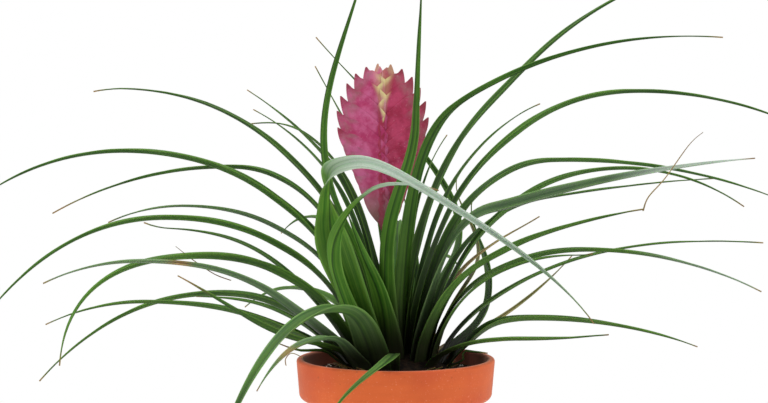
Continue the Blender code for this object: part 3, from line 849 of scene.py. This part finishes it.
def makeCrown():
    size = crownSizes
    profile = [(0, size["underside"]), (size["radius"], size["underside"])]
    for i in range(size["rings"] + 1):
        reach = size["radius"] * (1 - i / size["rings"])
        profile.append((reach, crownHeight(reach * mm) / mm))
    bm = spun(profile, size["sides"])
    lumpFrom = (size["edge"] - size["evenEdge"]) * mm
    lumpReach = (size["radius"] - size["evenEdge"]) * mm
    for vert in bm.verts:
        if vert.co.z > lumpFrom and math.hypot(vert.co.x, vert.co.y) < lumpReach:
            vert.co.z += noise.noise(vert.co * size["lumpSize"]) * size["lump"] * mm - size["lumpDown"] * mm
    addPiece("crownDome", bm, sheathMaterial(), ["crown"])


def makeSheaths(leafFinish):
    random.seed(12)
    joined = bmesh.new()
    size = sheathSizes
    foot = size["foot"]
    look = dict(dry=0.5, maroon=0.9, silver=0.0, tone=0.1)
    for i in range(size["count"]):
        heading = 360 * i / size["count"] + random.uniform(-size["scatter"], size["scatter"])
        reach = random.uniform(*size["reach"])
        tall = random.uniform(*size["tall"])
        out = random.uniform(*size["out"])
        middle = (reach + 0.25 * out, heading, foot + 0.55 * tall)
        end = (reach + out, heading + random.uniform(-size["twist"], size["twist"]), foot + tall)
        stations, length = stripLine([(reach, heading, foot), middle, end])
        wide = random.uniform(*size["wide"])

        def halfAt(share, wide=wide):
            return max(wide * (1 - share ** size["taper"]), size["tip"]) * mm

        fold = (0.3, math.radians(size["fold"]))
        bm = bladeMesh(stations, length, halfAt, lambda station, fold=fold: fold, look, i + 200,
                       across=size["across"], thickness=size["thickness"])
        absorb(joined, bm)
    addPiece("drySheaths", joined, leafFinish)


# Flower stalk and flower head

stalkSizes = dict(foot=(0, 0, 111.3), footRadius=2.5, topRadius=2.1, gap=0.3, sides=24, rings=14,
                  swell=0.08)
headSizes = dict(foot=(-6.6, 0, 184), lean=-1.2, height=102, widestAt=66, halfWidth=28, footHalfWidth=4,
                 halfThickness=4.6, bracts=24, edge=0.5, lowestTip=20, topFoot=68, bellyReach=1.03,
                 topBelly=7, lowTuck=1.2, bellyHeight=0.42, topBellyLift=0.15, collar=0.36, topCollar=0.86,
                 cross=4, baseIn=1, baseDrop=1.5, topFrom=0.6, shoulderTurn=85, shoulderRise=0.91, crest=3.2,
                 crestSkew=0.7, tipDrop=1.2, tipDropAt=0.85, margin=0.28, tipBack=0.8, tipLift=0.2,
                 crossTaper=0.35, lastCross=0.6, lastFrom=0.85, swellTaper=0.45, uneven=0.05, along=30,
                 up=16)
bractTones = dict(heartHalfWidth=8.5, heartFrom=66, heartLength=28, heartMiddle=0.6, heartEnd=92,
                  heartFade=5, lastHeart=0.4, lastFrom=0.93, tipFrom=0.72, footDullFrom=8, footDullLength=26,
                  footDull=0.9, rightDull=0.35, patch=0.55, patchAt=0.72, midDull=0.25, midAt=(-1.5, 77))


def stalkMaterial():
    finish, tree, shader = newMaterial("stalkGreen")
    place = objectPlace(tree)
    streak = grain(tree, place, 260, stretch=(1, 1, 0.1), detail=4)
    green = blendColours(tree, spread(tree, streak, 0.35, 0.65), tint("#5a6b2c"), tint("#8c6a5a"))
    feed(tree, green, shader.inputs["Base Color"])
    shader.inputs["Roughness"].default_value = 0.55
    raised(tree, shader, streak, 0.0002, 0.6)
    return finish


def makeStalk():
    size = stalkSizes
    start = Vector(size["foot"]) * mm
    end = Vector(headSizes["foot"]) * mm - Vector((0, 0, size["gap"] * mm))
    bm = bmesh.new()
    bmesh.ops.create_cone(bm, cap_ends=True, segments=size["sides"], radius1=size["footRadius"] * mm,
                          radius2=size["topRadius"] * mm, depth=1)
    long = [edge for edge in bm.edges if abs(edge.verts[0].co.z - edge.verts[1].co.z) > 0.5]
    bmesh.ops.subdivide_edges(bm, edges=long, cuts=size["rings"])
    for vert in bm.verts:
        share = vert.co.z + 0.5
        middle = start.lerp(end, share)
        swell = 1 + size["swell"] * math.sin(share * 31)
        vert.co = Vector((middle.x + vert.co.x * swell, middle.y + vert.co.y * swell, middle.z))
    addPiece("flowerStalk", bm, stalkMaterial(), ["flower_stalk"])


def headHalfWidth(height):
    size = headSizes
    if height < size["widestAt"]:
        return size["footHalfWidth"] + (size["halfWidth"] - size["footHalfWidth"]) * height / size["widestAt"]
    share = min((height - size["widestAt"]) / (size["height"] + 2 - size["widestAt"]), 1)
    return size["halfWidth"] * (1 - share ** 2.2) ** 0.5


def bractMaterial():
    # Rose pink, redder on one side and at the tips, with a cream heart and fine veins
    finish, tree, shader = newMaterial("bractPink")
    along = uvPlace(tree, "bractUv")
    place = objectPlace(tree)
    tip, cream, dull, right = storedState(tree, "bractState")
    vein = grain(tree, along, 1, stretch=(10, 190, 1), detail=4)
    mottle = grain(tree, place, 120, detail=4)
    freckle = grain(tree, place, 900, detail=2)
    leftPink = blendColours(tree, spread(tree, mottle, 0.35, 0.65), tint("#bd2a68"), tint("#d76597"))
    rightPink = blendColours(tree, spread(tree, mottle, 0.35, 0.65), tint("#ac1b49"), tint("#cb3f6c"))
    petal = blendColours(tree, right, leftPink, rightPink)
    petal = blendColours(tree, spread(tree, vein, 0.5, 0.75, 0, 0.45), petal, tint("#97284e"))
    petal = blendColours(tree, maths(tree, "MULTIPLY", tip, 0.85), petal, tint("#8c2636"))
    petal = blendColours(tree, dull, petal, blendColours(tree, vein, tint("#7c4a4c"), tint("#b08a86")))
    heart = maths(tree, "MULTIPLY", cream, spread(tree, vein, 0.3, 0.6, 0.7, 1.0), clamp=True)
    petal = blendColours(tree, heart, petal, tint("#f0dc9c"))
    petal = blendColours(tree, spread(tree, freckle, 0.62, 0.75, 0, 0.3), petal, tint("#e0a0bc"))
    feed(tree, petal, shader.inputs["Base Color"])
    feed(tree, spread(tree, mottle, 0.3, 0.7, 0.42, 0.58), shader.inputs["Roughness"])
    shader.inputs["Subsurface Weight"].default_value = 0.15
    shader.inputs["Subsurface Radius"].default_value = (1.0, 0.3, 0.35)
    shader.inputs["Subsurface Scale"].default_value = 0.002
    shader.inputs["Sheen Weight"].default_value = 0.15
    raised(tree, shader, vein, 0.00025, 0.5)
    return finish


def tooth(order):
    # Where the bracts' tips stand: the first half in even steps up the side, the rest over the round top
    size = headSizes
    if order < 0.5:
        height = size["lowestTip"] + (size["widestAt"] - size["lowestTip"]) * order * 2
        return Vector((headHalfWidth(height), height))
    turn = math.radians(size["shoulderTurn"]) * (order - 0.5) * 2
    rise = math.sin(turn) ** size["shoulderRise"]
    return Vector((size["halfWidth"] * math.cos(turn),
                   size["widestAt"] + (size["height"] - size["widestAt"]) * rise))


def bractLines(order):
    # What a bract hangs on: its keel from base over belly to tip, and the collar where its free edge starts
    size = headSizes
    top = ease((order - size["topFrom"]) / (1 - size["topFrom"]))
    foot = size["topFoot"] * order
    tip = tooth(order)
    length = tip.y - foot
    base = Vector((-size["baseIn"], foot - size["baseDrop"]))
    belly = Vector((size["bellyReach"] * tip.x + size["topBelly"] * top - size["lowTuck"] * (1 - top),
                    foot + (size["bellyHeight"] + size["topBellyLift"] * top) * length))
    last = ease((order - size["lastFrom"]) / (1 - size["lastFrom"]))
    crossing = size["cross"] * (1 - size["crossTaper"] * order) * (1 - size["lastCross"] * last)
    closing = (size["topCollar"] - size["collar"]) * top
    collar = Vector((-crossing, foot + (size["collar"] + closing) * length))
    return top, base, belly, tip, collar


def bractLook(point, along, up, order, index, side):
    # How much of the tip's red, of cream and of dullness shows, and which side the bract is on
    look = bractTones
    reach = look["heartHalfWidth"] * (point.z - look["heartFrom"]) / look["heartLength"]
    heart = ease(1.5 - 1.5 * abs(point.x - look["heartMiddle"]) / reach) if reach > 0 else 0
    heart *= 0.25 + 0.75 * ease((up - 0.8) / 0.17)
    heart *= 1 - 0.8 * ease((point.z - look["heartEnd"]) / look["heartFade"])
    if order > look["lastFrom"]:
        heart = max(heart, look["lastHeart"] * ease((along - 0.4) / 0.5))
    sideDull = (1 if side < 0 else look["rightDull"]) * look["footDull"]
    dull = (1 - ease((point.z - look["footDullFrom"]) / look["footDullLength"])) * sideDull
    faded = ease(0.7 + noise.noise(Vector((along * 9, up * 4, index))))
    dull = max(dull, look["patch"] * bump01(along, look["patchAt"], 0.2) * faded)
    x, z = look["midAt"]
    dull = max(dull, bump01(point.x, x, 6) * bump01(point.z, z, 12) * look["midDull"])
    return ease((along - look["tipFrom"]) / (1 - look["tipFrom"])), heart, dull, 0.5 + 0.5 * side


def makeBract(index):
    size = headSizes
    order = index / (size["bracts"] - 1)
    side = -1 if index % 2 else 1
    top, base, belly, tip, collar = bractLines(order)
    upperTip = tip + Vector((-size["tipBack"], size["tipLift"]))
    swell = size["halfThickness"] * (1 - size["swellTaper"] * order)
    lean = Matrix.Rotation(math.radians(size["lean"]), 3, "Y")
    bm = bmesh.new()
    layer = bm.loops.layers.uv.new("bractUv")
    states = bm.verts.layers.float_color.new("bractState")
    grids = {}
    for vert, grid, above in slab(bm, size["along"], size["up"]):
        along = (grid.x + 1) / 2
        up = 1 - (1 - (grid.y + 1) / 2) ** 1.5
        grids[vert] = (along, up)
        keel = base.lerp(belly, along).lerp(belly.lerp(tip, along), along)
        crest = size["crest"] * (1 - top) * math.sin(math.pi * along ** size["crestSkew"])
        crest -= size["tipDrop"] * bump01(along, size["tipDropAt"], 0.2)
        spot = keel.lerp(collar.lerp(upperTip, along) + Vector((0, crest)), up)
        rounded = math.sin(min(up * 1.25, 1) * math.pi / 2) ** 0.8
        cushion = 0.3 + 0.7 * (0.35 * up + 0.65 * rounded)
        depth = size["edge"] * (0.55 + 0.45 * (1 - along)) + swell * (1 - along) ** 0.7 * cushion
        depth += size["margin"] * ease((up - 0.8) / 0.2)
        depth += size["uneven"] * noise.noise(Vector((along * 5, up * 3, index * 4.1)))
        point = Vector((side * spot.x, (2 * above - 1) * depth, spot.y))
        vert.co = (lean @ point + Vector(size["foot"])) * mm
        vert[states] = bractLook(point, along, up, order, index, side)
    for face in bm.faces:
        for loop in face.loops:
            loop[layer].uv = grids[loop.vert]
    bmesh.ops.recalc_face_normals(bm, faces=bm.faces[:])
    return bm


def makeFlowerHead():
    finish = bractMaterial()
    joined = bmesh.new()
    for index in range(headSizes["bracts"]):
        absorb(joined, makeBract(index))
    addPiece("flowerHead", joined, finish, ["flower_head"])


makeCamera()
makeStage()
print("camera and stage are ready")
makePot()
makeSoil()
makeBits()
print("pot and soil are ready")
leafFinish = leafMaterial()
makeCrown()
makeSheaths(leafFinish)
makeLeaves(leafFinish)
makeWisps(leafFinish)
print("leaves are ready")
makeStalk()
makeFlowerHead()
print("flower head is ready")
